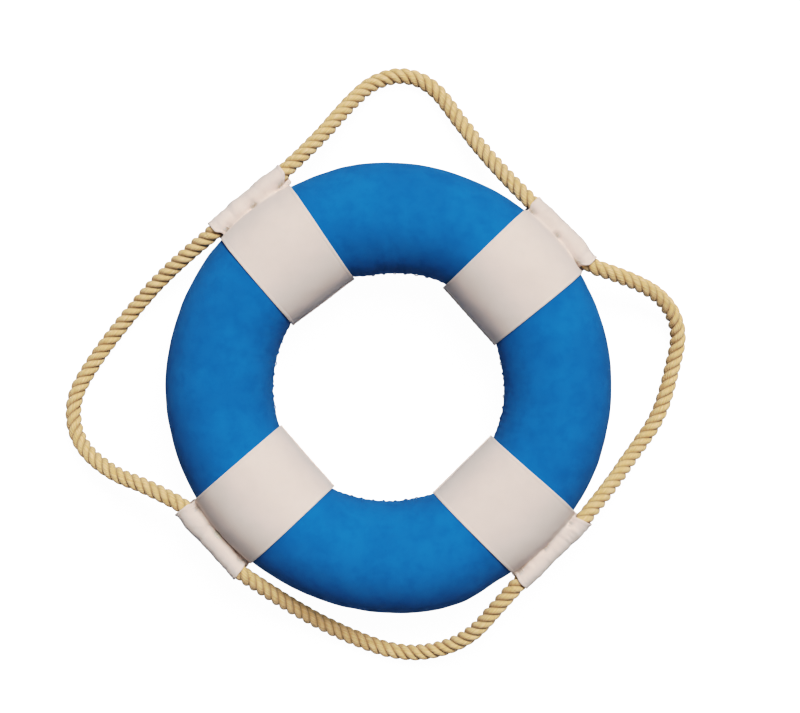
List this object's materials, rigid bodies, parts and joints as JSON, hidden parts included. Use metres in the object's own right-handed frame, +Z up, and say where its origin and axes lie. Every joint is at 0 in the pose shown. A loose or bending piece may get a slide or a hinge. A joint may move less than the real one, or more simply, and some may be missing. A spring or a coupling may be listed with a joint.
{
  "type": "ring lifebuoy",
  "caption": "Cloth-covered foam ring buoy with pale bands and a three-strand grab rope that runs through a sewn sleeve on each band and swings in loops.",
  "frame": {"origin": "on the ring's axis, at the surface that the bands rest on", "axes": "+Z up along the ring's axis; +Y towards the ring's top, +X to its right, as it is seen from the front"},
  "size_m": [0.5369, 0.5127, 0.0926],
  "materials": {
    "foam": "beaded closed-cell foam",
    "cover_cloth": "plain-weave cloth, matt",
    "band_cloth": "plain-weave cloth, matt",
    "cover_thread": "twisted thread",
    "band_thread": "twisted thread",
    "rope": "three-strand natural fibre",
    "whipping": "waxed twine"
  },
  "bodies": {
    "ring": {"foam_core": "foam", "cover_panel_top": "cover_cloth", "cover_panel_right": "cover_cloth", "cover_panel_bottom": "cover_cloth", "cover_panel_left": "cover_cloth", "cover_seam_stitches_top": "cover_thread", "cover_seam_stitches_right": "cover_thread", "cover_seam_stitches_bottom": "cover_thread", "cover_seam_stitches_left": "cover_thread", "band_upper_right": "band_cloth", "band_upper_left": "band_cloth", "band_lower_left": "band_cloth", "band_lower_right": "band_cloth", "band_seam_stitches_upper_right": "band_thread", "band_seam_stitches_upper_left": "band_thread", "band_seam_stitches_lower_left": "band_thread", "band_seam_stitches_lower_right": "band_thread", "sleeve_stitches_upper_right": "band_thread", "sleeve_stitches_upper_left": "band_thread", "sleeve_stitches_lower_left": "band_thread", "sleeve_stitches_lower_right": "band_thread", "rope_in_sleeve_upper_right": "rope", "rope_in_sleeve_upper_left": "rope", "rope_in_sleeve_lower_right": "rope", "rope_first_end": "rope", "rope_last_end": "rope", "rope_join_whipping": "whipping"},
    "loop_top": {"grab_loop_top": "rope"},
    "loop_right": {"grab_loop_right": "rope"},
    "loop_bottom": {"grab_loop_bottom": "rope"},
    "loop_left": {"grab_loop_left": "rope"}
  },
  "joints": [
    {"name": "top_loop_swing", "type": "hinge", "parent": "ring", "child": "loop_top", "pos_m": [0.01715, 0.1747, 0.0463], "axis": [0.9952, -0.0974, 0], "range_deg": [-35, 75]},
    {"name": "right_loop_swing", "type": "hinge", "parent": "ring", "child": "loop_right", "pos_m": [0.17335, -0.0059, 0.0463], "axis": [-0.0338, -0.9994, 0], "range_deg": [-35, 75]},
    {"name": "bottom_loop_swing", "type": "hinge", "parent": "ring", "child": "loop_bottom", "pos_m": [-0.0069, -0.16775, 0.0463], "axis": [-0.9992, 0.0409, 0], "range_deg": [-35, 75]},
    {"name": "left_loop_swing", "type": "hinge", "parent": "ring", "child": "loop_left", "pos_m": [-0.1663, 0.01745, 0.0463], "axis": [0.1045, 0.9945, 0], "range_deg": [-35, 75]}
  ]
}
